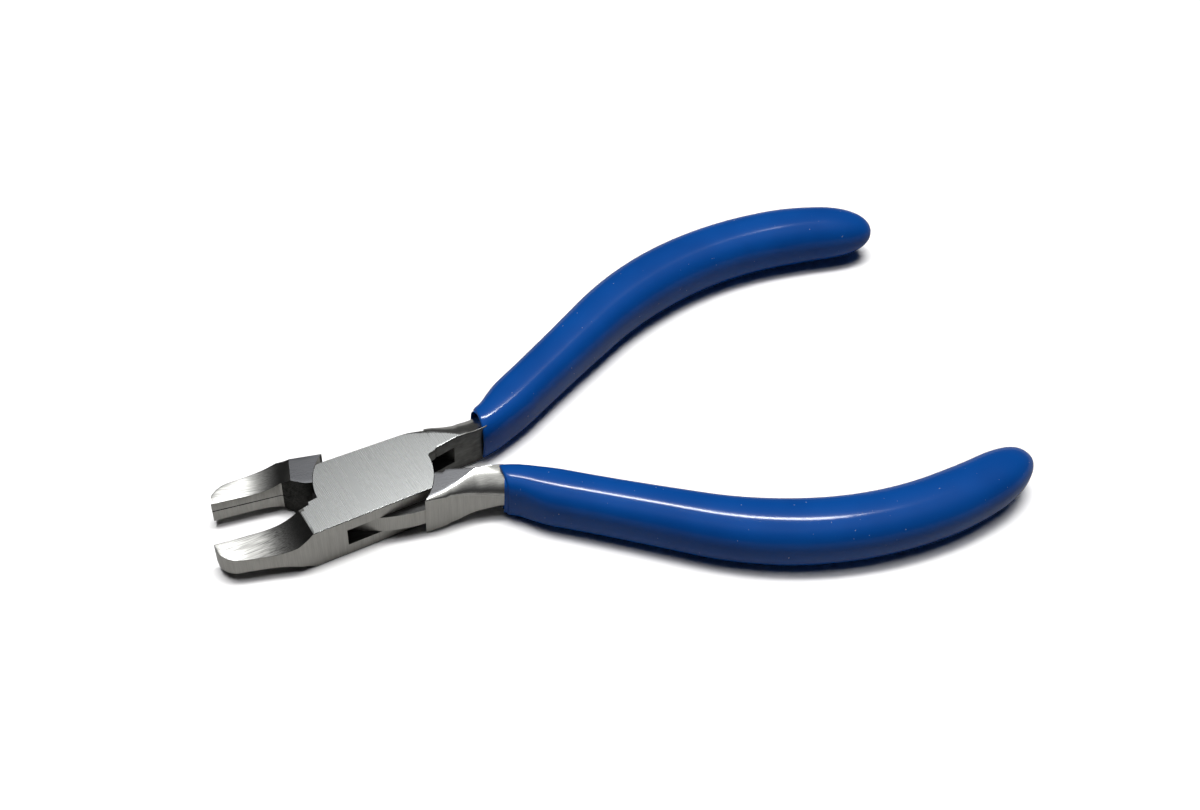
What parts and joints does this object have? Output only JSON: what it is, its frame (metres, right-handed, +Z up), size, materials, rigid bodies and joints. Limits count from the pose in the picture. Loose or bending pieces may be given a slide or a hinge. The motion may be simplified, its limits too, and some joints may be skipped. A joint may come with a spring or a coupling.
{
  "type": "sprue nippers",
  "caption": "Box-joint nippers with slim hollow-ground jaws for cutting sprues, and bowed handles in dipped vinyl grips.",
  "frame": {"origin": "on the joint's axis, in the plane of the joint's underside, at the rivet's flush end", "axes": "+X along the tool from the joint to the handles, +Y to the box half's handle, +Z up along the joint's axis; jaws part open at rest"},
  "size_m": [0.1272, 0.073, 0.01],
  "materials": {
    "box_steel": "flat ground, satin, with fine cross streaks",
    "tongue_steel": "flat ground, satin, darker than the cheeks",
    "rivet_steel": "ground flush with the cheeks",
    "box_vinyl": "glossy royal blue dipped vinyl",
    "tongue_vinyl": "glossy royal blue dipped vinyl"
  },
  "bodies": {
    "box": {"box_half": "box_steel", "joint_rivet": "rivet_steel", "box_half_grip": "box_vinyl"},
    "tongue": {"tongue_half": "tongue_steel", "tongue_half_grip": "tongue_vinyl"}
  },
  "joints": [
    {"name": "jaw_pivot", "type": "hinge", "parent": "box", "child": "tongue", "pos_m": [0, 0, 0.0042], "axis": [0, 0, 1], "range_deg": [-14, 16.5]}
  ]
}
